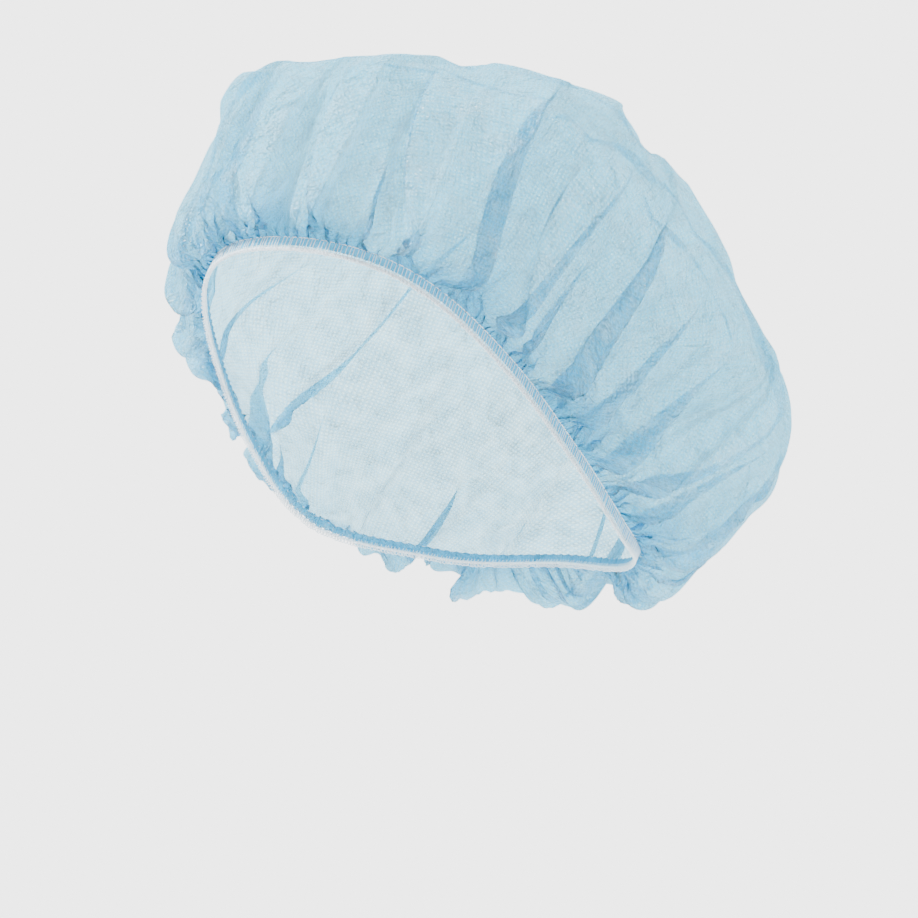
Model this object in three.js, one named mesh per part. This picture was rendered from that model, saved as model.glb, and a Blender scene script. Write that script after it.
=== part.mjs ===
// A disposable bouffant hair cap, in the shape that it has on a head: one disc of
// thin non-woven fabric, its edge gathered onto a narrow elastic. All lengths are
// in millimetres. +Z is up, the wearer faces -Y and the wearer's left is +X. The
// origin is the middle of the opening that the head goes through. Angles round the
// cap, called turns, run from the front (0) by the wearer's left (90) to the back.

import * as THREE from "three";

// The opening, an oval in a plane that slopes down from the brow to the nape
const OPENING_TILT = 35; // degrees between that plane and the floor
const OPENING_HALF_WIDTH = 78; // from the middle to the temples
const OPENING_FRONT = 104; // from the middle to the brow, along the plane
const OPENING_BACK = 98; // from the middle to the nape, along the plane
const EAR_DROP = 28; // how far the edge dips below the plane behind the ears

// The puffed crown, measured from the opening's plane
const CROWN_RADIUS = 125; // the sections' radii are shares of this
const CROWN_HEIGHT = 140; // the sections' heights are shares of this
const CROWN_SET_BACK = 21; // how far the crown's middle lies towards the back
const GATHER_SWELL = 14; // how far the gathers stand out and rise above the hem

// The cloth, its hem and its folds
const WALL = 1;
const HEM_HEIGHT = 3.2; // the bound edge of the cloth, flat against the head
const FOLD_HEIGHT = 8; // the fold table's heights are shares of this

// The elastic that runs along the cloth's edge
const ELASTIC_HEIGHT = 1.4;
const ELASTIC_THICKNESS = 1.4;
const ELASTIC_CLEARANCE = 0.35; // between the elastic and the cloth above it

// How finely the surfaces are divided
const STEPS_ROUND = 132;
const STEPS_UP = 17;
const ROW_CROWDING = 1.25; // above 1, the rows lie closer near the hem
const LAST_ROW = 0.965; // the share of the way up at which the closing fan starts

const FABRIC_COLOUR = 0xb4d6e4;
const ELASTIC_COLOUR = 0xf2f4f4;

// The opening's edge, every 30 degrees from the front to the back and alike on both
// sides: out is a share of the plain oval's radius, and drop a share of EAR_DROP.
const EDGE = [
  { out: 1.0, drop: 0.19 }, // brow
  { out: 1.0, drop: 0.16 },
  { out: 0.97, drop: 0.45 },
  { out: 0.99, drop: 0.8 }, // temple
  { out: 1.06, drop: 1.0 },
  { out: 1.06, drop: 0.55 },
  { out: 1.01, drop: 0.24 }, // nape
];

// The crown's sections, every 30 degrees. Each rises from the hem over a swell, the
// belly, the shoulder and the top to the middle of the crown. Out and up are shares
// of GATHER_SWELL, radii of CROWN_RADIUS and heights of CROWN_HEIGHT.
const SECTIONS = [
  // front
  { out: 0.78, up: 0.9, bellyR: 1.04, bellyZ: 0.41, shoulderR: 0.93, shoulderZ: 0.59, topR: 0.44, topZ: 0.88 },
  { out: 0.8, up: 0.9, bellyR: 0.98, bellyZ: 0.44, shoulderR: 0.92, shoulderZ: 0.61, topR: 0.44, topZ: 0.9 },
  { out: 0.75, up: 1.0, bellyR: 0.92, bellyZ: 0.34, shoulderR: 0.83, shoulderZ: 0.58, topR: 0.41, topZ: 0.85 },
  // wearer's left
  { out: 0.75, up: 1.1, bellyR: 0.93, bellyZ: 0.25, shoulderR: 0.8, shoulderZ: 0.51, topR: 0.4, topZ: 0.82 },
  { out: 0.95, up: 1.05, bellyR: 0.98, bellyZ: 0.22, shoulderR: 0.82, shoulderZ: 0.47, topR: 0.42, topZ: 0.84 },
  { out: 1.45, up: 0.35, bellyR: 1.0, bellyZ: 0.26, shoulderR: 0.88, shoulderZ: 0.51, topR: 0.44, topZ: 0.89 },
  // back
  { out: 1.55, up: -0.1, bellyR: 1.01, bellyZ: 0.29, shoulderR: 0.89, shoulderZ: 0.53, topR: 0.45, topZ: 0.9 },
  { out: 1.4, up: 0.2, bellyR: 1.0, bellyZ: 0.27, shoulderR: 0.89, shoulderZ: 0.52, topR: 0.45, topZ: 0.89 },
  { out: 0.95, up: 0.9, bellyR: 0.99, bellyZ: 0.23, shoulderR: 0.83, shoulderZ: 0.48, topR: 0.42, topZ: 0.87 },
  // wearer's right
  { out: 1.0, up: 0.9, bellyR: 0.95, bellyZ: 0.25, shoulderR: 0.81, shoulderZ: 0.52, topR: 0.41, topZ: 0.85 },
  { out: 1.4, up: 0.8, bellyR: 0.93, bellyZ: 0.34, shoulderR: 0.84, shoulderZ: 0.59, topR: 0.41, topZ: 0.86 },
  { out: 1.2, up: 0.8, bellyR: 0.98, bellyZ: 0.45, shoulderR: 0.92, shoulderZ: 0.6, topR: 0.5, topZ: 0.86 },
];
const SECTION_PARTS = ["belly", "shoulder", "top"];

// The main folds. Each leaves the hem at a turn, leans by some degrees on its way up
// and is some degrees wide. Height is a share of FOLD_HEIGHT, less than 0 for a
// valley; from and to are shares of the way from the hem to the middle of the crown,
// and crease runs from 0, a round roll, to 1, a sharp ridge.
const FOLDS = [
  { turn: -42, lean: -4, width: 12, height: 0.7, from: 0.02, to: 0.45, crease: 0.4 },
  { turn: -30, lean: 2, width: 9, height: 0.55, from: 0.02, to: 0.5, crease: 0.6 },
  { turn: -21, lean: 8, width: 8, height: 0.6, from: 0.02, to: 0.75, crease: 0.8 },
  { turn: -13, lean: 4, width: 7, height: -0.45, from: 0.02, to: 0.55, crease: 0.4 },
  { turn: -6, lean: 6, width: 8, height: 0.6, from: 0.02, to: 0.7, crease: 0.7 },
  { turn: 1, lean: 4, width: 7, height: -0.4, from: 0.02, to: 0.5, crease: 0.4 },
  { turn: 8, lean: 3, width: 9, height: 0.6, from: 0.02, to: 0.85, crease: 0.8 },
  { turn: 16, lean: 4, width: 8, height: -0.4, from: 0.02, to: 0.6, crease: 0.3 },
  { turn: 24, lean: 14, width: 9, height: 0.75, from: 0.0, to: 0.55, crease: 0.7 },
  { turn: 36, lean: -3, width: 11, height: 1.0, from: 0.0, to: 0.85, crease: 0.8 },
  { turn: 43, lean: 2, width: 8, height: -0.7, from: 0.02, to: 0.4, crease: 0.2 },
  { turn: 50, lean: 3, width: 10, height: 0.85, from: 0.0, to: 0.65, crease: 0.8 },
  { turn: 58, lean: -2, width: 8, height: 0.45, from: 0.02, to: 0.5, crease: 0.7 },
  { turn: 70, lean: -8, width: 11, height: 0.95, from: 0.0, to: 0.6, crease: 0.9 },
  { turn: 81, lean: -3, width: 9, height: 0.7, from: 0.0, to: 0.55, crease: 0.8 },
  { turn: 87, lean: 2, width: 8, height: -0.5, from: 0.02, to: 0.4, crease: 0.2 },
  { turn: 95, lean: -9, width: 10, height: 0.8, from: 0.0, to: 0.5, crease: 0.8 },
  { turn: 104, lean: 8, width: 9, height: 0.75, from: 0.0, to: 0.6, crease: 0.9 },
  { turn: 113, lean: 5, width: 9, height: 0.6, from: 0.02, to: 0.5, crease: 0.6 },
  { turn: 122, lean: 10, width: 10, height: -0.8, from: 0.04, to: 0.5, crease: 0.4 },
  { turn: 132, lean: 8, width: 12, height: 0.7, from: 0.04, to: 0.6, crease: 0.7 },
  { turn: 147, lean: 3, width: 14, height: -0.7, from: 0.04, to: 0.45, crease: 0.3 },
  { turn: 160, lean: -4, width: 13, height: 0.8, from: 0.02, to: 0.6, crease: 0.6 },
  { turn: 174, lean: 6, width: 12, height: -0.5, from: 0.02, to: 0.4, crease: 0.3 },
  { turn: 187, lean: 3, width: 12, height: 0.8, from: 0.02, to: 0.7, crease: 0.7 },
  { turn: 201, lean: -5, width: 11, height: 0.6, from: 0.02, to: 0.5, crease: 0.6 },
  { turn: 214, lean: 4, width: 12, height: -0.6, from: 0.02, to: 0.45, crease: 0.3 },
  { turn: 226, lean: -6, width: 12, height: 0.8, from: 0.02, to: 0.6, crease: 0.8 },
  { turn: 240, lean: 4, width: 10, height: 0.6, from: 0.02, to: 0.5, crease: 0.6 },
  { turn: 252, lean: 6, width: 11, height: 0.8, from: 0.0, to: 0.65, crease: 0.8 },
  { turn: 264, lean: -3, width: 10, height: -0.5, from: 0.02, to: 0.45, crease: 0.3 },
  { turn: 275, lean: 5, width: 10, height: 0.8, from: 0.0, to: 0.6, crease: 0.8 },
  { turn: 288, lean: -4, width: 10, height: 0.7, from: 0.0, to: 0.55, crease: 0.7 },
  { turn: 302, lean: 6, width: 11, height: 0.8, from: 0.0, to: 0.6, crease: 0.7 },
];
const LEAN_DONE = 0.6; // the share of the way up by which a fold has leaned over

// Broad creases that cross the crown, from one place to another. Turn and up say
// where each end lies, width is a share of CROWN_RADIUS and height of FOLD_HEIGHT.
const CREASES = [
  { turnA: 24, upA: 0.74, turnB: 62, upB: 0.8, width: 0.11, height: 0.5 },
  { turnA: 100, upA: 0.42, turnB: 82, upB: 0.34, width: 0.1, height: 0.6 },
  { turnA: -30, upA: 0.62, turnB: -8, upB: 0.78, width: 0.13, height: 0.6 },
  { turnA: 130, upA: 0.5, turnB: 112, upB: 0.72, width: 0.12, height: 0.7 },
  { turnA: 205, upA: 0.52, turnB: 178, upB: 0.74, width: 0.13, height: 0.8 },
  { turnA: 262, upA: 0.6, turnB: 236, upB: 0.72, width: 0.12, height: 0.6 },
];

const radians = THREE.MathUtils.degToRad;
const { smoothstep } = THREE.MathUtils;

// A Catmull-Rom cubic between b and c, with a and d as their outer neighbours.
function cubic(a, b, c, d, t) {
  const slope = c - a;
  const bend = 2 * a - 5 * b + 4 * c - d;
  const twist = 3 * (b - c) + d - a;
  return b + 0.5 * t * (slope + t * (bend + t * twist));
}

// One column of a closed table whose rows stand at equal angles, smoothly blended.
function roundTable(rows, column, turn) {
  const count = rows.length;
  const at = THREE.MathUtils.euclideanModulo(turn, 360) / (360 / count);
  const row = Math.floor(at);
  const pick = (step) => rows[(row + step + count) % count][column];
  return cubic(pick(-1), pick(0), pick(1), pick(2), at - row);
}

// The degrees between two turns, from -180 to 180.
function turnBetween(a, b) {
  return THREE.MathUtils.euclideanModulo(a - b + 180, 360) - 180;
}

// The edge's table, mirrored so that it runs all the way round.
const FULL_EDGE = [...EDGE, ...EDGE.slice(1, -1).reverse()];

// The opening's edge at a turn, in the sloping plane's own frame: a distance from
// the middle and a height above the plane.
function edgeAt(turn) {
  const across = Math.sin(radians(turn)) / OPENING_HALF_WIDTH;
  const reach = Math.cos(radians(turn)) > 0 ? OPENING_FRONT : OPENING_BACK;
  const oval = 1 / Math.hypot(across, Math.cos(radians(turn)) / reach);
  return {
    r: oval * roundTable(FULL_EDGE, "out", turn),
    z: -EAR_DROP * roundTable(FULL_EDGE, "drop", turn),
  };
}

// Where the cloth's flat hem starts and ends above the opening's edge
const CLOTH_START = ELASTIC_HEIGHT + ELASTIC_CLEARANCE;
const HEM_TOP = CLOTH_START + HEM_HEIGHT;

// The control points of a section, from the top of the hem to the crown's middle.
function sectionAt(turn) {
  const share = (column) => roundTable(SECTIONS, column, turn);
  const edge = edgeAt(turn);
  const hem = { r: edge.r, z: edge.z + HEM_TOP };
  const swell = {
    r: hem.r + share("out") * GATHER_SWELL,
    z: hem.z + share("up") * GATHER_SWELL,
  };
  const upper = SECTION_PARTS.map((part) => ({
    r: share(part + "R") * CROWN_RADIUS,
    z: share(part + "Z") * CROWN_HEIGHT,
  }));
  return [hem, swell, ...upper, { r: 0, z: CROWN_HEIGHT }];
}

// A point given in the sloping plane's frame, in the cap's own upright frame.
const slope = new THREE.Matrix4().makeRotationX(-radians(OPENING_TILT));
function placed(turn, r, z, back = 0) {
  const x = r * Math.sin(radians(turn));
  const y = back - r * Math.cos(radians(turn));
  return new THREE.Vector3(x, y, z).applyMatrix4(slope);
}

// A point of the smooth crown. Up runs from 0, the hem's top, to 1, the middle.
function smoothCrown(turn, up) {
  const points = sectionAt(turn);
  const last = points.length - 1;
  const opposite = sectionAt(turn + 180)[last - 1];
  const before = {
    r: 2 * points[0].r - points[1].r,
    z: 2 * points[0].z - points[1].z,
  };
  const chain = [before, ...points, { r: -opposite.r, z: opposite.z }];
  const span = Math.min(Math.floor(up * last), last - 1);
  const blend = (name) =>
    cubic(...chain.slice(span, span + 4).map((point) => point[name]), up * last - span);
  return placed(turn, blend("r"), blend("z"), CROWN_SET_BACK * smoothstep(up, 0, 1));
}

// The height of a fold's section, x from -1 to 1 across its width.
function foldProfile(x, crease) {
  if (Math.abs(x) >= 1) return 0;
  const roll = 0.5 + 0.5 * Math.cos(Math.PI * x);
  const ridge = (1 - Math.abs(x)) ** 1.5;
  return roll + (ridge - roll) * crease;
}

// How far the folds lift the cloth at a turn and a share of the way up.
function foldLift(turn, up) {
  let lift = 0;
  for (const fold of FOLDS) {
    const middle = fold.turn + fold.lean * smoothstep(up, 0, LEAN_DONE);
    const x = turnBetween(turn, middle) / (fold.width / 2);
    const third = (fold.to - fold.from) / 3;
    const rise = smoothstep(up, fold.from, fold.from + third);
    const fade = 1 - smoothstep(up, fold.from + third, fold.to);
    lift += fold.height * rise * fade * foldProfile(x, fold.crease);
  }
  return lift * FOLD_HEIGHT;
}

const CREASE_ENDS = CREASES.map((crease) => ({
  ...crease,
  line: new THREE.Line3(
    smoothCrown(crease.turnA, crease.upA),
    smoothCrown(crease.turnB, crease.upB),
  ),
}));

// How far the broad creases lift the cloth at a point, fading out past their ends.
function creaseLift(point) {
  let lift = 0;
  const nearest = new THREE.Vector3();
  for (const { line, width, height } of CREASE_ENDS) {
    line.closestPointToPoint(point, true, nearest);
    const x = point.distanceTo(nearest) / (width * CROWN_RADIUS);
    lift += height * foldProfile(Math.min(x, 1), 1);
  }
  return lift * FOLD_HEIGHT;
}

// The crown's outward direction at a turn and a share of the way up.
const NEAR = 0.01;
function outward(turn, up) {
  const low = smoothCrown(turn, Math.max(up - NEAR, 0));
  const high = smoothCrown(turn, Math.min(up + NEAR, 1));
  const left = smoothCrown(turn - 1, up);
  const right = smoothCrown(turn + 1, up);
  return right.sub(left).cross(high.sub(low)).normalize();
}

// A point of the cloth's outer face, folds and all.
function foldedCrown(turn, up) {
  const point = smoothCrown(turn, up);
  const lift = foldLift(turn, up) + creaseLift(point) * smoothstep(up, 0.1, 0.3);
  return point.addScaledVector(outward(turn, up), lift);
}

// Closed rows of points as triangles, facing out where the rows run upwards.
function stripFaces(faces, round, lower, upper) {
  for (let i = 0; i < round; i++) {
    const next = (i + 1) % round;
    const [a, b] = [lower + i, lower + next];
    const [c, d] = [upper + i, upper + next];
    faces.push(a, b, d, a, d, c);
  }
}

function meshOf(name, points, faces, material) {
  const geometry = new THREE.BufferGeometry().setFromPoints(points);
  geometry.setIndex(faces);
  geometry.computeVertexNormals();
  const mesh = new THREE.Mesh(geometry, material);
  mesh.name = name;
  return mesh;
}

const turns = Array.from({ length: STEPS_ROUND }, (_, i) => (360 * i) / STEPS_ROUND);

// The cloth: an outer face from the hem to the middle of the crown, the same face
// again one wall further in, and the edge that joins them.
function buildCrown() {
  const rows = [
    turns.map((turn) => placed(turn, edgeAt(turn).r, edgeAt(turn).z + CLOTH_START)),
  ];
  for (let j = 0; j <= STEPS_UP; j++) {
    const up = LAST_ROW * (j / STEPS_UP) ** ROW_CROWDING;
    rows.push(turns.map((turn) => foldedCrown(turn, up)));
  }
  const outer = [...rows.flat(), placed(0, 0, CROWN_HEIGHT, CROWN_SET_BACK)];
  const middle = outer.length - 1;
  const faces = [];
  for (let j = 0; j + 1 < rows.length; j++) {
    stripFaces(faces, STEPS_ROUND, j * STEPS_ROUND, (j + 1) * STEPS_ROUND);
  }
  const lastRow = (rows.length - 1) * STEPS_ROUND;
  for (let i = 0; i < STEPS_ROUND; i++) {
    faces.push(lastRow + i, lastRow + ((i + 1) % STEPS_ROUND), middle);
  }

  const face = new THREE.BufferGeometry().setFromPoints(outer);
  face.setIndex(faces);
  face.computeVertexNormals();
  const normals = face.getAttribute("normal");
  const inner = outer.map((point, i) => {
    const normal = new THREE.Vector3().fromBufferAttribute(normals, i);
    return point.clone().addScaledVector(normal, -WALL);
  });
  const innerFaces = [];
  for (let i = 0; i < faces.length; i += 3) {
    innerFaces.push(...[faces[i], faces[i + 2], faces[i + 1]].map((k) => k + outer.length));
  }
  const edgeFaces = [];
  stripFaces(edgeFaces, STEPS_ROUND, outer.length, 0);

  const fabric = new THREE.MeshStandardMaterial({
    color: FABRIC_COLOUR,
    roughness: 0.75,
    metalness: 0,
  });
  return meshOf("crown", [...outer, ...inner], [...faces, ...innerFaces, ...edgeFaces], fabric);
}

// The elastic: a band of square section right under the cloth's edge.
function buildElastic() {
  const inside = -WALL / 2 - ELASTIC_THICKNESS / 2;
  const outside = inside + ELASTIC_THICKNESS;
  const corners = [
    { out: inside, up: 0 },
    { out: outside, up: 0 },
    { out: outside, up: ELASTIC_HEIGHT },
    { out: inside, up: ELASTIC_HEIGHT },
  ];
  const points = corners.flatMap((corner) =>
    turns.map((turn) => placed(turn, edgeAt(turn).r + corner.out, edgeAt(turn).z + corner.up)),
  );
  const faces = [];
  corners.forEach((_, k) => {
    const next = (k + 1) % corners.length;
    stripFaces(faces, STEPS_ROUND, k * STEPS_ROUND, next * STEPS_ROUND);
  });
  const rubber = new THREE.MeshStandardMaterial({
    color: ELASTIC_COLOUR,
    roughness: 0.6,
    metalness: 0,
  });
  return meshOf("elastic_band", points, faces, rubber);
}

const cap = new THREE.Group();
cap.add(buildCrown());
cap.add(buildElastic());
export default cap;
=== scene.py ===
"""The finish of a disposable bouffant hair cap: thin crumpled non-woven cloth that is
gathered onto a narrow elastic, and the white overlock thread along its edge.

Lengths are in millimetres and meshes in metres, unless a comment says otherwise. Turns
run in degrees from the front (0) by the wearer's left (90) to the back (180). A place
on the crown is a turn and an up, from 0 at the hem's top to 1 in the crown's middle."""

import math

import bpy
import numpy as np
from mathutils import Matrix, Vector


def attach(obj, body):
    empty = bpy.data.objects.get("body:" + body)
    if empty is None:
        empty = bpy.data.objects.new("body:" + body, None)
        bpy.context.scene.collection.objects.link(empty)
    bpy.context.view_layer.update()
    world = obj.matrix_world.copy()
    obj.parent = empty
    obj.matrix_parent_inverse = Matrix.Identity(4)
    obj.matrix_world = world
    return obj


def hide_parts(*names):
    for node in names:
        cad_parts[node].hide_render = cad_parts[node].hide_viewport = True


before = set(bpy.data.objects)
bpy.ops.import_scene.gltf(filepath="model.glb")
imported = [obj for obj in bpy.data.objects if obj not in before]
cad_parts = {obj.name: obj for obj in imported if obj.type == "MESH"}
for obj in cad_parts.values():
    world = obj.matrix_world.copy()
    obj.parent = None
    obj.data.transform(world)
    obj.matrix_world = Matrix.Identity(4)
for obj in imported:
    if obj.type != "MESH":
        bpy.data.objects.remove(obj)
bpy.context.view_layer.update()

MM = 0.001

# The opening, as the solids have it
OPENING_TILT = 35.0
OPENING_HALF_WIDTH = 78.0
OPENING_FRONT = 104.0
OPENING_BACK = 98.0
EAR_DROP = 28.0

# The puffed crown and its hem, as the solids have them
CROWN_RADIUS = 125.0
CROWN_HEIGHT = 140.0
CROWN_SET_BACK = 21.0
GATHER_SWELL = 14.0
HEM_HEIGHT = 3.2
ELASTIC_HEIGHT = 1.4
ELASTIC_CLEARANCE = 0.35
FOLD_HEIGHT = 8.0
CLOTH_START = ELASTIC_HEIGHT + ELASTIC_CLEARANCE
HEM_TOP = CLOTH_START + HEM_HEIGHT

# The flat cloth
CLOTH_RADIUS = 260.0

# The cloth's net of columns round the disc and rings from its edge to its middle.
# Each row: down to this radius, the rings lie this far apart, with this many columns.
NET = [
    (190.0, 1.6, 1024),
    (85.0, 2.2, 512),
    (35.0, 2.8, 256),
    (12.0, 3.5, 128),
]
COLUMNS = NET[0][2]
MEASURED_UPS = np.linspace(0, 0.999, 60)  # where the crown's length is measured

# The opening's edge, every 30 degrees from brow to nape: out, drop
EDGE = np.array([
    (1.0, 0.19),
    (1.0, 0.16),
    (0.97, 0.45),
    (0.99, 0.8),
    (1.06, 1.0),
    (1.06, 0.55),
    (1.01, 0.24),
])
FULL_EDGE = np.concatenate([EDGE, EDGE[1:-1][::-1]])

# The crown's sections, every 30 degrees from the front:
# swell out and up, then radius and height of the belly, the shoulder and the top
SECTIONS = np.array([
    (0.78, 0.9, 1.04, 0.41, 0.93, 0.59, 0.44, 0.88),
    (0.8, 0.9, 0.98, 0.44, 0.92, 0.61, 0.44, 0.9),
    (0.75, 1.0, 0.92, 0.34, 0.83, 0.58, 0.41, 0.85),
    (0.75, 1.1, 0.93, 0.25, 0.8, 0.51, 0.4, 0.82),
    (0.95, 1.05, 0.98, 0.22, 0.82, 0.47, 0.42, 0.84),
    (1.45, 0.35, 1.0, 0.26, 0.88, 0.51, 0.44, 0.89),
    (1.55, -0.1, 1.01, 0.29, 0.89, 0.53, 0.45, 0.9),
    (1.4, 0.2, 1.0, 0.27, 0.89, 0.52, 0.45, 0.89),
    (0.95, 0.9, 0.99, 0.23, 0.83, 0.48, 0.42, 0.87),
    (1.0, 0.9, 0.95, 0.25, 0.81, 0.52, 0.41, 0.85),
    (1.4, 0.8, 0.93, 0.34, 0.84, 0.59, 0.41, 0.86),
    (1.2, 0.8, 0.98, 0.45, 0.92, 0.6, 0.5, 0.86),
])

# The main folds, as the solids have them, with one column more:
# turn, lean, width, height, from, to, crease, lap. Lap is how far the ridge is laid
# over to one side, as a share of the fold's height.
FOLDS = [
    (-42, -4, 12, 0.7, 0.02, 0.45, 0.4, -0.6),
    (-30, 2, 9, 0.55, 0.02, 0.5, 0.6, -0.6),
    (-21, 8, 8, 0.6, 0.02, 0.75, 0.8, 0.7),
    (-13, 4, 7, -0.45, 0.02, 0.55, 0.4, 0.0),
    (-6, 6, 8, 0.6, 0.02, 0.7, 0.7, 0.8),
    (1, 4, 7, -0.4, 0.02, 0.5, 0.4, 0.0),
    (8, 3, 9, 0.6, 0.02, 0.85, 0.8, 0.8),
    (16, 4, 8, -0.4, 0.02, 0.6, 0.3, 0.0),
    (24, 14, 9, 0.75, 0.0, 0.55, 0.7, 0.9),
    (36, -3, 11, 1.0, 0.0, 0.85, 0.8, 1.3),
    (43, 2, 8, -0.7, 0.02, 0.4, 0.2, 0.0),
    (50, 3, 10, 0.85, 0.0, 0.65, 0.8, 1.3),
    (58, -2, 8, 0.45, 0.02, 0.5, 0.7, 1.0),
    (70, -8, 11, 0.95, 0.0, 0.6, 0.9, 1.4),
    (81, -3, 9, 0.7, 0.0, 0.55, 0.8, 1.2),
    (87, 2, 8, -0.5, 0.02, 0.4, 0.2, 0.0),
    (95, -9, 10, 0.8, 0.0, 0.5, 0.8, 1.2),
    (104, 8, 9, 0.75, 0.0, 0.6, 0.9, 1.0),
    (113, 5, 9, 0.6, 0.02, 0.5, 0.6, 0.8),
    (122, 10, 10, -0.8, 0.04, 0.5, 0.4, 0.0),
    (132, 8, 12, 0.7, 0.04, 0.6, 0.7, -0.8),
    (147, 3, 14, -0.7, 0.04, 0.45, 0.3, 0.0),
    (160, -4, 13, 0.8, 0.02, 0.6, 0.6, 1.0),
    (174, 6, 12, -0.5, 0.02, 0.4, 0.3, 0.0),
    (187, 3, 12, 0.8, 0.02, 0.7, 0.7, -1.0),
    (201, -5, 11, 0.6, 0.02, 0.5, 0.6, 0.8),
    (214, 4, 12, -0.6, 0.02, 0.45, 0.3, 0.0),
    (226, -6, 12, 0.8, 0.02, 0.6, 0.8, -1.1),
    (240, 4, 10, 0.6, 0.02, 0.5, 0.6, -0.8),
    (252, 6, 11, 0.8, 0.0, 0.65, 0.8, 1.1),
    (264, -3, 10, -0.5, 0.02, 0.45, 0.3, 0.0),
    (275, 5, 10, 0.8, 0.0, 0.6, 0.8, -1.1),
    (288, -4, 10, 0.7, 0.0, 0.55, 0.7, 1.0),
    (302, 6, 11, 0.8, 0.0, 0.6, 0.7, -0.9),
]
MAIN_SWAY = 0.5  # how far a main fold sways from side to side, in degrees
LAID_FURTHER = 1.75  # the cloth's main folds lie over further than the solid's can

# The lesser folds between the main ones, in families that spread by chance:
# how many, width in degrees, height in mm, and how far up they start and reach
LESSER_FOLDS = [
    (32, 9.0, 3.6, 0.03, 0.95),
    (50, 6.0, 3.4, 0.01, 0.6),
    (84, 3.8, 2.4, 0.0, 0.3),
]
LESSER_LEAN = 6.0  # the usual lean of a lesser fold, in degrees

# How every fold lies
LEAN_DONE = 0.6  # how far up a fold has its whole lean
RISE_DONE = 0.2  # where a fold is at its highest, as a share of its reach
SWAY_RADIANS = 17.0  # the sway's waves from the hem to the crown's middle, in radians
NARROW = 0.62  # a fold's width at the hem, as a share of its full width
SPREAD_DONE = 0.2  # how far up it has its full width
CREST = 0.55  # how far off its middle a laid fold's crest is, of half its width
CREASED_POWER = 1.25  # the rise of a fold that is wholly creased
NEAR_MIDDLE = (0.72, 0.94)  # where every fold dies out towards the crown's middle
MOST_LAY = 13.0  # the furthest that folds lay the cloth over, in mm

# The gathers at the hem: how many round, height in mm, and where they fade in and out
GATHERS = [
    (171, 1.7, 0.0, 0.005, 0.03, 0.14),
    (97, 1.6, 0.006, 0.03, 0.09, 0.32),
]
GATHER_LIFT = 1.2  # how high a gather stands, as a share of its height
GATHER_LAY = 0.55  # how far it goes to the side, likewise
GATHER_SINK = 0.3  # how deep its valley lies, as a share of its lift
GATHER_WANDER = 1.6  # how unevenly the gathers follow each other, in radians
GATHER_UNEVEN = 0.3  # how much their height changes round the hem
HEM_RIB = 0.25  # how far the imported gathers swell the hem, in mm
RIBS_GONE = 0.02  # how far up the ribs of the hem reach

# Where the cloth lies flatter: turn, width in degrees, depth in mm, from, to
FLATTER = [
    (-50, 34, 5.0, 0.02, 0.55),
    (132, 26, 4.0, 0.62, 0.95),
]
FLATTER_IN = 0.08
FLATTER_OUT = 0.1
LIFT_MEAN = 1.6  # how far in the smooth cloth lies, to make room for its folds, in mm
LIFT_MEAN_DONE = 0.12  # how far up it lies that far in

# Broad creases high on the crown: turn and up of both ends, width, height
CREASES = [
    (24, 0.74, 62, 0.8, 0.11, 0.5),
    (100, 0.42, 82, 0.34, 0.1, 0.6),
    (-30, 0.62, -8, 0.78, 0.13, 0.6),
    (130, 0.5, 112, 0.72, 0.12, 0.7),
    (205, 0.52, 178, 0.74, 0.13, 0.8),
    (262, 0.6, 236, 0.72, 0.12, 0.6),
]
SMALL_CREASES = 150
CREASE_TURN = 55.0  # how far round a small crease runs for its reach, in degrees
CREASE_TAPER = 0.6  # how much lower a crease is at its ends
CREASE_POWER = 1.15
CREASES_FADE_IN = (0.08, 0.28)
SEED = 11

# How densely the gathers pack the cloth, by the distance in from its edge
PACKED_WHOLLY = 2.0
PACKED_REACH = 26.0
PACKED_POWER = 1.5
# The waves of that reach round the cloth: size in mm, how many, and their start
PACKED_WAVES = [(9.0, 9, 1), (7.0, 23, 2), (7.0, 41, 0)]

# The cloth's finish. Its flat place is in metres, so scales are to the metre.
CLOTH_COLOUR = (0.05, 0.61, 0.97, 1)
# The pale colour: in dense clouds it is the cloth's own paler tone; on the bonded points it is a
# painted highlight for their glints
CLOTH_PALE_AND_GLINT = (0.42, 0.83, 1.0, 1)
CLOTH_DEEP = (0.05, 0.63, 1.0, 1)  # where the gathers pack several layers together
CLOTH_TINT = (0.66, 0.95, 1, 1)  # what is seen through one layer
CLOTH_GLOW = 0.34  # the share of light that shines through the fibres
CLOUD_SCALE = 95.0
CLOUD_SHARE = 0.65
FIBRE_SCALE = 2600.0
FIBRE_SHARE = 0.35
FIBRE_RELIEF = 0.0004
BOND_SPACING = 0.0017  # between the bonded points of the cloth, in m
BOND_DEPTH = 0.0006
# Painted highlight: how far the bonded points are painted paler, for the glints of light on their
# bumps; the net of points is the cloth's own pattern
BOND_PAINTED_GLINT = 0.95
BOND_CLEARNESS = 0.22
CRUMPLE_SWAY = 0.02  # how far the clouds bend the facets
CRUMPLES = [(38.0, 0.34), (105.0, 0.38), (280.0, 0.28)]  # facets to the metre, and slope
# Grey ramps: where a value is, and what it becomes
DOT_EDGE = [(0.18, 1.0), (0.36, 0.0)]
PALE_BY_DENSITY = [(0.36, 0.0), (0.64, 0.85)]
CLEAR_BY_DENSITY = [(0.34, 0.50), (0.64, 0.14)]
CLEAR_BY_PACKING = [(0.0, 1.0), (1.0, 0.15)]
ROUGH_BY_DOTS = [(0.0, 0.42), (1.0, 0.22)]

# The elastic: a narrow round cord that the gathers ripple a little
ELASTIC_COLOUR = (0.87, 0.95, 1.0, 1)
ELASTIC_RADIUS = 0.5
ELASTIC_RIPPLE = 0.05
ELASTIC_INSET = 0.5
ELASTIC_STEPS = 1000
ELASTIC_SIDES = 10

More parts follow.
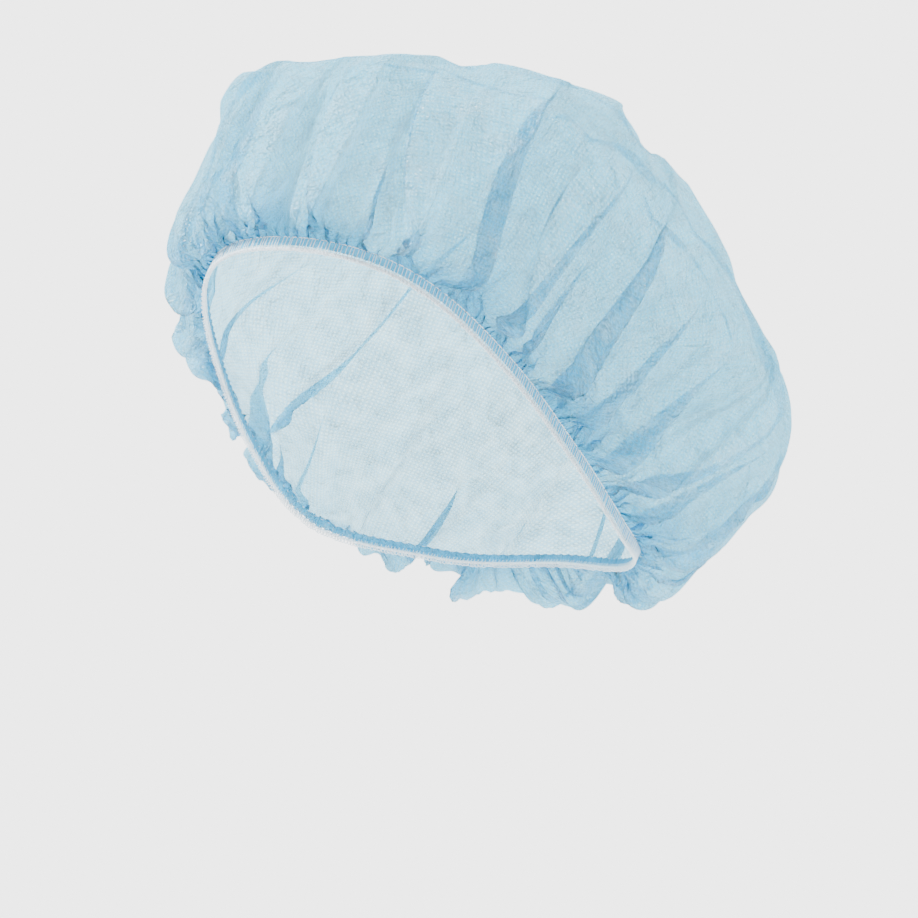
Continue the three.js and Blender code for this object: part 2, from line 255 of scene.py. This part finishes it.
# The overlock thread
THREAD_COLOUR = (0.83, 0.94, 1.0, 1)
STITCHES = 440
STITCH_TURN = 360.0 / STITCHES
STITCH_STRAY = 0.16  # how far a stitch strays along the hem, in stitches
LADDER_SWAY = 0.22  # how far its cross thread strays from it, in stitches
THREAD_RADIUS = 0.15
LOOP_RADIUS = 0.17
NEEDLE_RADII = np.array([0.1, 0.2, 0.23, 0.2, 0.1])
OUTER = 0.25  # how far outside the hem's middle the threads lie

# Paths of one stitch: how far along it in stitches, out from the hem, up from its edge.
# The ladder's thread goes down over the hem, round below it, and up inside.
LADDER = [
    (0.0, OUTER, HEM_TOP - 0.05),
    (0.05, OUTER + 0.12, HEM_TOP - 0.9),
    (0.12, OUTER + 0.1, HEM_TOP - 2.2),
    (0.2, OUTER + 0.15, CLOTH_START + 0.1),
    (0.3, 0.28, 0.5),
    (0.4, -0.2, -0.32),
    (0.45, -0.8, -0.15),
    (0.5, -1.15, 0.7),
    (0.55, -0.7, CLOTH_START + 0.4),
]
# The needle's thread lies along the hem's upper line, in short raised stitches.
NEEDLE_UP = HEM_TOP + 0.05
NEEDLE = [
    (0.02, OUTER - 0.1, NEEDLE_UP),
    (0.2, OUTER + 0.24, NEEDLE_UP),
    (0.5, OUTER + 0.32, NEEDLE_UP),
    (0.8, OUTER + 0.24, NEEDLE_UP),
    (0.98, OUTER - 0.1, NEEDLE_UP),
]
# The looper's thread hangs in small loops just below the elastic.
LOOP_TOP = 0.25
LOOP = [
    (-0.1, 0.15, 0.25),
    (0.15, 0.42, -0.25),
    (0.5, 0.3, -0.62),
    (0.9, 0.0, -0.55),
    (1.15, -0.3, -0.2),
    (1.2, -0.2, 0.3),
]

# The stage, in metres and watts
FLOOR_DROP = 0.33
FLOOR_RADIUS = 1.1
FLOOR_SIDES = 128
BACKDROP_AWAY = 3.2
BACKDROP_HALF = 1.1
BACKDROP_LIGHT = 4.0
WORLD_LIGHT = 0.5
LIT_POINT = (0, 0, 0.03)
# Each lamp: name, place, size, power
LAMPS = [
    ("key", (-1.2, -0.7, 1.2), 0.22, 135),
    ("fill", (1.8, -1.1, 0.2), 0.8, 36),
    ("rim", (1.0, 0.9, 1.3), 0.3, 52),
]

# The camera, at the photo's angle, in metres
AZIMUTH = math.radians(40)
ELEVATION = math.radians(1)
DISTANCE = 1.6
PIXELS = 918
PIXELS_PER_M = 2700.0
SENSOR = 36.0  # in mm, as a camera has it
AIM_RIGHT = 0.0115  # where the view's middle lies from the origin
AIM_UP = -0.0204


def smoothstep(x, low, high):
    """From 0 at low to 1 at high, level at both."""
    t = np.clip((x - low) / (high - low), 0.0, 1.0)
    return t * t * (3 - 2 * t)


def cubic(a, b, c, d, t):
    """A Catmull-Rom cubic between b and c."""
    slope = c - a
    bend = 2 * a - 5 * b + 4 * c - d
    twist = 3 * (b - c) + d - a
    return b + 0.5 * t * (slope + t * (bend + t * twist))


def round_table(rows, turn):
    """Every column of a closed table at each turn, smoothly blended."""
    count = len(rows)
    at = np.mod(turn, 360.0) / (360.0 / count)
    row = np.floor(at).astype(int)
    t = (at - row)[:, None]
    pick = [rows[(row + step) % count] for step in (-1, 0, 1, 2)]
    return cubic(*pick, t)


def edge_at(turn):
    """The opening's edge: its distance from the middle and its height over the plane."""
    angle = np.radians(turn)
    reach = np.where(np.cos(angle) > 0, OPENING_FRONT, OPENING_BACK)
    oval = 1 / np.hypot(np.sin(angle) / OPENING_HALF_WIDTH, np.cos(angle) / reach)
    out, drop = round_table(FULL_EDGE, turn).T
    return oval * out, -EAR_DROP * drop


def placed(turn, r, z, back=0.0):
    """Points of the sloping plane's frame in the cap's upright frame."""
    angle = np.radians(turn)
    tilt = math.radians(OPENING_TILT)
    x = r * np.sin(angle)
    y = back - r * np.cos(angle)
    return np.stack([
        x,
        y * math.cos(tilt) + z * math.sin(tilt),
        z * math.cos(tilt) - y * math.sin(tilt),
    ], axis=-1)


def hem_place(turn, out, up):
    """Points out from the hem's cloth and up from the opening's edge."""
    turn = np.asarray(turn, dtype=float)
    r, z = edge_at(turn)
    return placed(turn, r + out, z + up)


def smooth_crown(turn, up):
    """Points of the smooth crown, with no folds."""
    edge_r, edge_z = edge_at(turn)
    row = round_table(SECTIONS, turn)
    far = round_table(SECTIONS, turn + 180)
    hem_z = edge_z + HEM_TOP
    swell_r = edge_r + row[:, 0] * GATHER_SWELL
    swell_z = hem_z + row[:, 1] * GATHER_SWELL
    radii = [2 * edge_r - swell_r, edge_r, swell_r]
    heights = [2 * hem_z - swell_z, hem_z, swell_z]
    for k in (2, 4, 6):
        radii.append(row[:, k] * CROWN_RADIUS)
        heights.append(row[:, k + 1] * CROWN_HEIGHT)
    radii += [np.zeros_like(turn), -far[:, 6] * CROWN_RADIUS]
    heights += [np.full_like(turn, CROWN_HEIGHT), far[:, 7] * CROWN_HEIGHT]
    radii = np.array(radii)
    heights = np.array(heights)
    last = len(radii) - 3
    span = np.minimum(np.floor(up * last).astype(int), last - 1)
    t = up * last - span
    everyone = np.arange(len(turn))
    r = cubic(*(radii[span + k, everyone] for k in range(4)), t)
    z = cubic(*(heights[span + k, everyone] for k in range(4)), t)
    return placed(turn, r, z, CROWN_SET_BACK * smoothstep(up, 0, 1))


def unit(v):
    """Vectors of length 1 along v."""
    return v / np.maximum(np.linalg.norm(v, axis=-1, keepdims=True), 1e-9)


def crown_axes(turn, up, beside=0.5, near=0.01):
    """The directions round the smooth crown and out of it."""
    around = unit(smooth_crown(turn + beside, up) - smooth_crown(turn - beside, up))
    low = smooth_crown(turn, np.maximum(up - near, 0))
    high = smooth_crown(turn, np.minimum(up + near, 0.995))
    return around, unit(np.cross(around, high - low))


def turned(a, b):
    """The shortest turn from b to a, in degrees."""
    return np.mod(a - b + 180, 360) - 180


def add_ridge(field, turn, up, at, lean, width, height, low, high, crease, lap, sway):
    """Adds one tapering fold's lift and sideways lay to the field, both in mm.

    A laid fold climbs slowly to its crest and drops steeply behind it, so that the
    cloth lies back over itself there."""
    swayed = sway * np.sin(up * SWAY_RADIANS + at)
    middle = at + lean * smoothstep(up, 0, LEAN_DONE) + swayed
    spread = NARROW + (1 - NARROW) * smoothstep(up, 0, SPREAD_DONE)
    x = turned(turn, middle) / (width / 2 * spread)
    near = np.abs(x) < 1
    side = np.sign(lap) if lap else 1.0
    x = x[near] * side
    u = up[near]
    rise_end = low + RISE_DONE * (high - low)
    rise = smoothstep(u, low, rise_end) * (1 - smoothstep(u, rise_end, high))
    rise = rise * (1 - smoothstep(u, *NEAR_MIDDLE))
    crest = CREST * min(abs(lap), 1.0)
    climb = np.where(x < crest, (x + 1) / (1 + crest), (1 - x) / (1 - crest))
    roll = climb * climb * (3 - 2 * climb)
    section = roll + (climb**CREASED_POWER - roll) * crease
    shape = height * rise * spread[near] * section
    field[0][near] += shape
    field[1][near] += shape * lap * spread[near]


def add_lesser_folds(field, turn, up, rng):
    """Adds the families of lesser folds, each fold with a size and place by chance."""
    for count, width, height, low, high in LESSER_FOLDS:
        for k in range(count):
            at = (k + rng.uniform(-0.45, 0.45)) * 360 / count
            tall = height * rng.uniform(0.4, 1.3)
            lean = rng.normal(0, LESSER_LEAN)
            wide = width * rng.uniform(0.7, 1.4)
            top = low + (high - low) * rng.uniform(0.5, 1.3)
            crease = rng.uniform(0.5, 1.0)
            side = rng.choice([-1, 1])
            lap = side * rng.uniform(0.45, 1.0) * width / height
            sway = rng.uniform(0.2, 1.0)
            add_ridge(field, turn, up, at, lean, wide, tall, low, top, crease, lap, sway)


def add_gathers(field, turn, up, rng):
    """Adds the fine gathers at the hem, which wander and change in height by chance."""
    angle = np.radians(turn)
    for count, height, low, full, fading, gone in GATHERS:
        wander = sum(
            rng.uniform(0.3, 1.0) * np.sin(angle * n + rng.uniform(0, 6) + up * rng.normal(0, 5))
            for n in rng.integers(5, 31, 6)
        )
        size = 1 + GATHER_UNEVEN * sum(
            np.sin(angle * n + rng.uniform(0, 6) + up * rng.normal(0, 14))
            for n in rng.integers(7, 60, 3)
        )
        phase = angle * count + GATHER_WANDER * wander
        fade = smoothstep(up, low, full) * (1 - smoothstep(up, fading, gone))
        stands = np.abs(np.sin(phase)) - GATHER_SINK
        field[0][:] += GATHER_LIFT * height * fade * size * stands
        field[1][:] += GATHER_LAY * height * fade * np.cos(phase)


def folds_at(turn, up):
    """How far the folds lift the cloth, and how far they lay it over, in mm."""
    rng = np.random.default_rng(SEED)
    field = (np.zeros_like(turn), np.zeros_like(turn))
    for at, lean, width, height, low, high, crease, lap in FOLDS:
        tall = height * FOLD_HEIGHT
        laid = lap * LAID_FURTHER
        add_ridge(field, turn, up, at, lean, width, tall, low, high, crease, laid, MAIN_SWAY)
    add_lesser_folds(field, turn, up, rng)
    add_gathers(field, turn, up, rng)
    return field


def crease_lines():
    """The ends of every crease on the smooth crown, with its width and height."""
    rng = np.random.default_rng(SEED + 1)
    lines = []
    for turn_a, up_a, turn_b, up_b, width, height in CREASES:
        ends = smooth_crown(np.array([turn_a, turn_b]), np.array([up_a, up_b]))
        lines.append((ends, width * CROWN_RADIUS, height * FOLD_HEIGHT))
    for _ in range(SMALL_CREASES):
        turn_a = rng.uniform(0, 360)
        up_a = rng.uniform(0.15, 0.97) ** 0.8
        reach = rng.uniform(0.1, 0.28)
        slant = rng.uniform(0, 2 * np.pi)
        turn_b = turn_a + CREASE_TURN * reach * np.cos(slant) / max(1 - up_a, 0.25)
        up_b = np.clip(up_a + reach * np.sin(slant), 0.1, 0.99)
        ends = smooth_crown(np.array([turn_a, turn_b]), np.array([up_a, up_b]))
        width = rng.uniform(7, 24)
        height = rng.uniform(1.5, 5.5) * rng.choice([1, -1])
        lines.append((ends, width, height))
    return lines


def crease_lift(base, up):
    """How far the creases lift the cloth, or let it sink, in mm."""
    lift = np.zeros(len(base))
    for (start, end), width, height in crease_lines():
        along = end - start
        t = np.clip((base - start) @ along / (along @ along), 0, 1)
        x = np.linalg.norm(base - start - t[:, None] * along, axis=1) / width
        taper = 1 - CREASE_TAPER * np.abs(2 * t - 1)
        lift += height * taper * np.maximum(1 - x, 0) ** CREASE_POWER
    return lift * smoothstep(up, *CREASES_FADE_IN)


def flatter_by(turn, up):
    """How far in the cloth lies where it is flatter, in mm."""
    depths = np.zeros_like(turn)
    for at, width, depth, low, high in FLATTER:
        away = np.abs(turned(turn, at)) / width
        rise = smoothstep(up, low, low + FLATTER_IN)
        fall = 1 - smoothstep(up, high - FLATTER_OUT, high)
        depths += depth * rise * fall * (1 - smoothstep(away, 0.0, 1.0))
    return depths


def cloth_net():
    """Ring radii, every point's ring and column, and the faces of the flat cloth."""
    radii = []
    steps = []
    radius = CLOTH_RADIUS
    for lowest, gap, columns in NET:
        while radius > lowest:
            radii.append(radius)
            steps.append(COLUMNS // columns)
            radius -= gap
    first = np.concatenate([[0], np.cumsum([COLUMNS // s for s in steps])])
    ring = np.concatenate([np.full(COLUMNS // s, j) for j, s in enumerate(steps)])
    column = np.concatenate([np.arange(0, COLUMNS, s) for s in steps])
    faces = []
    for j in range(len(radii) - 1):
        here = steps[j]
        above = steps[j + 1]
        for c in range(0, COLUMNS, above):
            low = [int(first[j] + (k % COLUMNS) // here) for k in range(c, c + above + 1, here)]
            right = int(first[j + 1] + ((c + above) % COLUMNS) // above)
            left = int(first[j + 1] + c // above)
            faces.append(low + [right, left])
    middle = int(first[-1])
    last = int(first[-2])
    count = COLUMNS // steps[-1]
    faces += [[last + k, last + (k + 1) % count, middle] for k in range(count)]
    return np.array(radii), ring, column, faces


def ups_of(radii, ring, column):
    """How far up each point of the net lies, and its share of the way to the middle.

    The share of the hem's own rings is below 0."""
    all_turns = 360.0 * np.arange(COLUMNS) / COLUMNS
    grid = np.array([smooth_crown(all_turns, np.full(COLUMNS, u)) for u in MEASURED_UPS])
    lengths = np.linalg.norm(np.diff(grid, axis=0), axis=-1)
    along = np.concatenate([np.zeros((1, COLUMNS)), np.cumsum(lengths, axis=0)])
    crown_start = CLOTH_RADIUS - HEM_HEIGHT
    share = (crown_start - radii) / crown_start
    table = np.array([np.interp(np.maximum(share, 0) * a[-1], a, MEASURED_UPS) for a in along.T])
    return table[column, ring], share[ring]


def cloth_points():
    """The worn cloth's points, where they lie on the flat disc, and the faces."""
    radii, ring, column, faces = cloth_net()
    turn = 360.0 * column / COLUMNS
    up, share = ups_of(radii, ring, column)
    base = smooth_crown(turn, up)
    hem = share < 0
    hem_up = HEM_TOP + share[hem] * (CLOTH_RADIUS - HEM_HEIGHT)
    base[hem] = hem_place(turn[hem], 0.0, hem_up)
    around, outward = crown_axes(turn, up)
    lift, lay = folds_at(turn, up)
    lift = lift + crease_lift(base, up) - flatter_by(turn, up)
    lift = lift - LIFT_MEAN * smoothstep(up, 0.0, LIFT_MEAN_DONE)
    ribs = HEM_RIB * np.sin(np.radians(turn) * GATHERS[0][0])
    lift = np.where(hem, ribs, lift + ribs * (1 - smoothstep(up, 0, RIBS_GONE)))
    lay = np.where(hem, 0.0, MOST_LAY * np.tanh(lay / MOST_LAY))
    points = base + outward * lift[:, None] + around * lay[:, None]
    angle = np.radians(turn)
    flat = np.stack([radii[ring] * np.sin(angle), -radii[ring] * np.cos(angle)], axis=1)
    middle = placed(np.zeros(1), np.zeros(1), np.full(1, CROWN_HEIGHT), CROWN_SET_BACK)
    return np.concatenate([points, middle]), np.concatenate([flat, np.zeros((1, 2))]), faces


def packed_share(flat):
    """How densely the gathers pack the cloth: 1 at the hem, fading out unevenly above it."""
    inward = CLOTH_RADIUS - np.hypot(flat[:, 0], flat[:, 1])
    angle = np.arctan2(flat[:, 0], -flat[:, 1])
    reach = PACKED_REACH + sum(
        size * np.sin(angle * count + start) for size, count, start in PACKED_WAVES
    )
    return (1 - smoothstep(inward, PACKED_WHOLLY, reach)) ** PACKED_POWER


def tubes(paths, radius, sides=5, closed=False):
    """Round tubes along many paths of equal length, as one set of points and faces."""
    paths = np.asarray(paths)
    count, length = paths.shape[:2]
    if closed:
        along = np.roll(paths, -1, axis=1) - np.roll(paths, 1, axis=1)
    else:
        along = np.gradient(paths, axis=1)
    along = unit(along)
    no_tubes_way = np.array([0.31, 0.17, 0.93])
    aside = unit(np.cross(along, no_tubes_way))
    across = np.cross(along, aside)
    angle = 2 * np.pi * np.arange(sides) / sides
    round_it = (
        np.cos(angle)[None, None, :, None] * aside[:, :, None]
        + np.sin(angle)[None, None, :, None] * across[:, :, None]
    )
    radius = np.broadcast_to(radius, paths.shape[:2])
    points = paths[:, :, None] + radius[:, :, None, None] * round_it
    faces = []
    spans = length if closed else length - 1
    for c in range(count):
        start = c * length * sides
        for k in range(spans):
            here = start + k * sides
            after = start + ((k + 1) % length) * sides
            for s in range(sides):
                t = (s + 1) % sides
                faces.append((here + s, here + t, after + t, after + s))
        if not closed:
            end = start + (length - 1) * sides
            faces.append(tuple(start + s for s in reversed(range(sides))))
            faces.append(tuple(end + s for s in range(sides)))
    return points.reshape(-1, 3), faces


def stitch_paths(rows, turns, sway=0.0):
    """One path for every stitch, from rows of along, out and up."""
    return np.stack([
        hem_place(turns + along * STITCH_TURN + sway, out, up) for along, out, up in rows
    ], axis=1)


def new_object(name, points, faces, material):
    """An object from points in metres."""
    mesh = bpy.data.meshes.new(name)
    mesh.from_pydata(points, [], faces)
    mesh.materials.append(material)
    mesh.update()
    made = bpy.data.objects.new(name, mesh)
    bpy.context.collection.objects.link(made)
    return made


def smooth_piece(name, points, faces, material):
    """A smoothly shaded piece of the cap from points in mm."""
    piece = new_object(name, (np.asarray(points) * MM).tolist(), faces, material)
    piece.data.polygons.foreach_set("use_smooth", [True] * len(faces))
    return piece


def node(tree, kind, inputs=None, **settings):
    """A shader node with its settings and input values."""
    made = tree.nodes.new(kind)
    for key, value in settings.items():
        setattr(made, key, value)
    for key, value in (inputs or {}).items():
        made.inputs[key].default_value = value
    return made


def texture(tree, kind, place, inputs):
    """A flat texture that is read at a place on the cloth."""
    dimensions = {
        "ShaderNodeTexNoise": "noise_dimensions",
        "ShaderNodeTexVoronoi": "voronoi_dimensions",
    }
    made = node(tree, kind, inputs, **{dimensions[kind]: "2D"})
    tree.links.new(place, made.inputs["Vector"])
    return made


def ramp(tree, source, stops):
    """Maps a 0 to 1 value through grey stops of (position, value)."""
    made = tree.nodes.new("ShaderNodeValToRGB")
    while len(made.color_ramp.elements) < len(stops):
        made.color_ramp.elements.new(0.5)
    for element, (at, value) in zip(made.color_ramp.elements, stops):
        element.position = at
        element.color = (value, value, value, 1)
    tree.links.new(source, made.inputs[0])
    return made.outputs[0]


def math_node(tree, operation, a, b):
    """The sum or product of two sockets or numbers."""
    made = tree.nodes.new("ShaderNodeMath")
    made.operation = operation
    for socket, value in zip(made.inputs, (a, b)):
        if isinstance(value, (int, float)):
            socket.default_value = value
        else:
            tree.links.new(value, socket)
    return made.outputs[0]


def colour_mix(tree, factor, a, b):
    """A blend of two colours, of which the first may be a socket."""
    made = node(tree, "ShaderNodeMix", {"B": b}, data_type="RGBA")
    tree.links.new(factor, made.inputs["Factor"])
    if isinstance(a, tuple):
        made.inputs["A"].default_value = a
    else:
        tree.links.new(a, made.inputs["A"])
    return made.outputs["Result"]


def shader_mix(tree, first, second):
    """A blend of two shaders, half and half until its factor is set."""
    made = node(tree, "ShaderNodeMixShader")
    tree.links.new(first.outputs[0], made.inputs[1])
    tree.links.new(second.outputs[0], made.inputs[2])
    return made


def new_material(name):
    """A material with no nodes yet, and its node tree."""
    material = bpy.data.materials.new(name)
    material.use_nodes = True
    material.node_tree.nodes.clear()
    return material, material.node_tree


def show(tree, shader):
    """Makes a shader the material's surface."""
    end = node(tree, "ShaderNodeOutputMaterial")
    tree.links.new(shader.outputs[0], end.inputs["Surface"])


def bonded_points(tree, flat):
    """1 on the cloth's bonded points, in a square net that stands on its corner."""
    place = node(tree, "ShaderNodeMapping", {"Rotation": (0, 0, math.radians(45))})
    tree.links.new(flat, place.inputs["Vector"])
    bonds = texture(tree, "ShaderNodeTexVoronoi", place.outputs[0], {
        "Scale": 1 / BOND_SPACING, "Randomness": 0.0,
    })
    return ramp(tree, bonds.outputs["Distance"], DOT_EDGE)


def cloth_relief(tree, flat, clouds, fibres, dots):
    """The bump of crumpled facets, fine fibres and sunken bonded points."""
    bent = node(tree, "ShaderNodeMix", {"Factor": CRUMPLE_SWAY}, data_type="VECTOR")
    tree.links.new(flat, bent.inputs["A"])
    tree.links.new(clouds.outputs["Color"], bent.inputs["B"])
    parts = []
    for scale, slope in CRUMPLES:
        facets = texture(tree, "ShaderNodeTexVoronoi", bent.outputs["Result"], {
            "Scale": scale, "Randomness": 1.0,
        })
        parts.append(math_node(tree, "MULTIPLY", facets.outputs["Distance"], slope / scale))
    parts.append(math_node(tree, "MULTIPLY", dots, -BOND_DEPTH))
    parts.append(math_node(tree, "MULTIPLY", fibres.outputs[0], FIBRE_RELIEF))
    height = parts[0]
    for part in parts[1:]:
        height = math_node(tree, "ADD", height, part)
    bump = node(tree, "ShaderNodeBump", {"Strength": 1.0, "Distance": 1.0})
    tree.links.new(height, bump.inputs["Height"])
    return bump.outputs[0]


def cloth_material():
    """Spun-bonded cloth: see-through fibres, cloudy patches and a net of bonded points."""
    material, tree = new_material("nonwoven_cloth")
    flat = node(tree, "ShaderNodeUVMap", uv_map="flat").outputs[0]
    packed = node(tree, "ShaderNodeAttribute", attribute_name="packed").outputs["Fac"]
    dots = bonded_points(tree, flat)
    fibres = texture(tree, "ShaderNodeTexNoise", flat, {
        "Scale": FIBRE_SCALE, "Detail": 1.0, "Roughness": 0.65, "Distortion": 0.4,
    })
    clouds = texture(tree, "ShaderNodeTexNoise", flat, {
        "Scale": CLOUD_SCALE, "Detail": 3.0, "Roughness": 0.65,
    })
    density = math_node(
        tree, "ADD",
        math_node(tree, "MULTIPLY", clouds.outputs[0], CLOUD_SHARE),
        math_node(tree, "MULTIPLY", fibres.outputs[0], FIBRE_SHARE),
    )
    # Paler in dense clouds, which is the cloth's own tone, and paler on the bonded points, which
    # is a painted highlight for their glints
    paleness_and_painted_glint = math_node(
        tree, "ADD",
        ramp(tree, density, PALE_BY_DENSITY),
        math_node(tree, "MULTIPLY", dots, BOND_PAINTED_GLINT),
    )
    fibre_and_glint_colour = colour_mix(tree, paleness_and_painted_glint, CLOTH_COLOUR, CLOTH_PALE_AND_GLINT)
    colour = colour_mix(tree, packed, fibre_and_glint_colour, CLOTH_DEEP)
    relief = cloth_relief(tree, flat, clouds, fibres, dots)

    body = node(tree, "ShaderNodeBsdfPrincipled", {
        "IOR": 1.45, "Sheen Weight": 0.25, "Sheen Roughness": 0.4, "Specular IOR Level": 0.7,
    })
    tree.links.new(colour, body.inputs["Base Color"])
    tree.links.new(ramp(tree, dots, ROUGH_BY_DOTS), body.inputs["Roughness"])
    tree.links.new(relief, body.inputs["Normal"])
    through = node(tree, "ShaderNodeBsdfTranslucent")
    tree.links.new(colour, through.inputs["Color"])
    tree.links.new(relief, through.inputs["Normal"])
    lit = shader_mix(tree, body, through)
    lit.inputs["Fac"].default_value = CLOTH_GLOW

    gaps = math_node(
        tree, "ADD",
        ramp(tree, density, CLEAR_BY_DENSITY),
        math_node(tree, "MULTIPLY", dots, BOND_CLEARNESS),
    )
    gaps = math_node(tree, "MULTIPLY", gaps, ramp(tree, packed, CLEAR_BY_PACKING))
    clear = node(tree, "ShaderNodeBsdfTransparent", {"Color": CLOTH_TINT})
    whole = shader_mix(tree, lit, clear)
    tree.links.new(gaps, whole.inputs["Fac"])
    show(tree, whole)
    return material


def thread_material(name, colour, twist, depth):
    """White textured thread: a twisted bump and a soft sheen."""
    material, tree = new_material(name)
    place = node(tree, "ShaderNodeTexCoord")
    fuzz = node(tree, "ShaderNodeTexNoise", {"Scale": twist, "Detail": 2.0, "Roughness": 0.6})
    tree.links.new(place.outputs["Object"], fuzz.inputs["Vector"])
    bump = node(tree, "ShaderNodeBump", {"Strength": 0.5, "Distance": depth})
    tree.links.new(fuzz.outputs[0], bump.inputs["Height"])
    body = node(tree, "ShaderNodeBsdfPrincipled", {
        "Roughness": 0.6, "Sheen Weight": 0.3, "Sheen Roughness": 0.5, "Base Color": colour,
    })
    tree.links.new(bump.outputs[0], body.inputs["Normal"])
    show(tree, body)
    return material


def make_cloth():
    """The gathered cloth, with its flat place and its packing for the material."""
    finish = cloth_material()
    points, flat, faces = cloth_points()
    cloth = smooth_piece("crown_cloth", points, faces, finish)
    uv = cloth.data.uv_layers.new(name="flat")
    corners = np.empty(len(cloth.data.loops), dtype=np.int32)
    cloth.data.loops.foreach_get("vertex_index", corners)
    uv.data.foreach_set("uv", (flat[corners] * MM).ravel())
    packed = cloth.data.attributes.new("packed", "FLOAT", "POINT")
    packed.data.foreach_set("value", packed_share(flat))
    return cloth


def make_elastic():
    """The elastic right under the cloth's edge."""
    turns = 360.0 * np.arange(ELASTIC_STEPS) / ELASTIC_STEPS
    path = hem_place(turns, -ELASTIC_INSET, ELASTIC_HEIGHT / 2)
    ripple = ELASTIC_RIPPLE * np.sin(np.radians(turns) * GATHERS[0][0])
    points, faces = tubes([path], ELASTIC_RADIUS + ripple, sides=ELASTIC_SIDES, closed=True)
    finish = thread_material("elastic_white", ELASTIC_COLOUR, 1800.0, 0.0003)
    return smooth_piece("elastic_edge", points, faces, finish)


def make_threads():
    """The overlock's three threads: the ladder, the needle's and the looper's."""
    finish = thread_material("overlock_thread", THREAD_COLOUR, 4200.0, 0.00015)
    rng = np.random.default_rng(SEED + 2)
    stray = rng.uniform(-STITCH_STRAY, STITCH_STRAY, STITCHES)
    turns = 360.0 * (np.arange(STITCHES) + stray) / STITCHES
    sway = rng.uniform(-LADDER_SWAY, LADDER_SWAY, STITCHES) * STITCH_TURN
    loop_depth = rng.uniform(0.6, 1.3, STITCHES)
    loop_rows = [(along, out, LOOP_TOP + (up - LOOP_TOP) * loop_depth) for along, out, up in LOOP]
    threads = []
    for name, paths, radius in (
        ("ladder_stitches", stitch_paths(LADDER, turns, sway), THREAD_RADIUS),
        ("needle_thread", stitch_paths(NEEDLE, turns), NEEDLE_RADII),
        ("edge_loops", stitch_paths(loop_rows, turns), LOOP_RADIUS),
    ):
        points, faces = tubes(paths, radius)
        threads.append(smooth_piece(name, points, faces, finish))
    return threads


def make_floor():
    """A round pale floor, well below the worn cap."""
    finish, tree = new_material("floor_pale")
    show(tree, node(tree, "ShaderNodeBsdfPrincipled", {
        "Base Color": (0.9, 0.9, 0.9, 1), "Roughness": 0.8,
    }))
    angles = [2 * math.pi * k / FLOOR_SIDES for k in range(FLOOR_SIDES)]
    points = [
        (FLOOR_RADIUS * math.cos(a), FLOOR_RADIUS * math.sin(a), -FLOOR_DROP) for a in angles
    ]
    new_object("floor", points, [tuple(range(FLOOR_SIDES))], finish)


def make_backdrop(right):
    """A bright backdrop far behind, square to the camera."""
    finish, tree = new_material("backdrop_white")
    show(tree, node(tree, "ShaderNodeEmission", {"Strength": BACKDROP_LIGHT}))
    behind = Vector((-right.y, right.x, 0)) * BACKDROP_AWAY
    points = [
        behind + right * (x * BACKDROP_HALF) + Vector((0, 0, z * BACKDROP_HALF))
        for x, z in ((-1, -1), (1, -1), (1, 1), (-1, 1))
    ]
    new_object("backdrop", points, [(0, 1, 2, 3)], finish)


def make_lights():
    """Soft studio light: a white world and three round lamps."""
    world = bpy.data.worlds.new("studio")
    bpy.context.scene.world = world
    world.use_nodes = True
    background = world.node_tree.nodes["Background"]
    background.inputs["Color"].default_value = (1, 1, 1, 1)
    background.inputs["Strength"].default_value = WORLD_LIGHT
    for name, place, size, power in LAMPS:
        lamp = bpy.data.lights.new(name, "AREA")
        lamp.shape = "DISK"
        lamp.size = size
        lamp.energy = power
        holder = bpy.data.objects.new(name, lamp)
        holder.location = place
        towards = Vector(LIT_POINT) - Vector(place)
        holder.rotation_euler = towards.to_track_quat("-Z", "Y").to_euler()
        bpy.context.collection.objects.link(holder)


def make_camera(right):
    """The camera, which looks at the cap as the photo does."""
    back = Vector((
        math.sin(AZIMUTH) * math.cos(ELEVATION),
        -math.cos(AZIMUTH) * math.cos(ELEVATION),
        math.sin(ELEVATION),
    ))
    upright = back.cross(right)
    lens = bpy.data.cameras.new("camera")
    lens.sensor_width = SENSOR
    lens.lens = SENSOR * PIXELS_PER_M * DISTANCE / PIXELS
    camera = bpy.data.objects.new("camera", lens)
    camera.location = right * AIM_RIGHT + upright * AIM_UP + back * DISTANCE
    camera.rotation_euler = back.to_track_quat("Z", "Y").to_euler()
    bpy.context.collection.objects.link(camera)
    bpy.context.scene.camera = camera


fabric = make_cloth()
elastic = make_elastic()
threads = make_threads()
for piece in (fabric, elastic, *threads):
    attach(piece, "root")
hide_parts("crown")
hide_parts("elastic_band")

camera_right = Vector((math.cos(AZIMUTH), math.sin(AZIMUTH), 0))
make_floor()
make_backdrop(camera_right)
make_lights()
make_camera(camera_right)
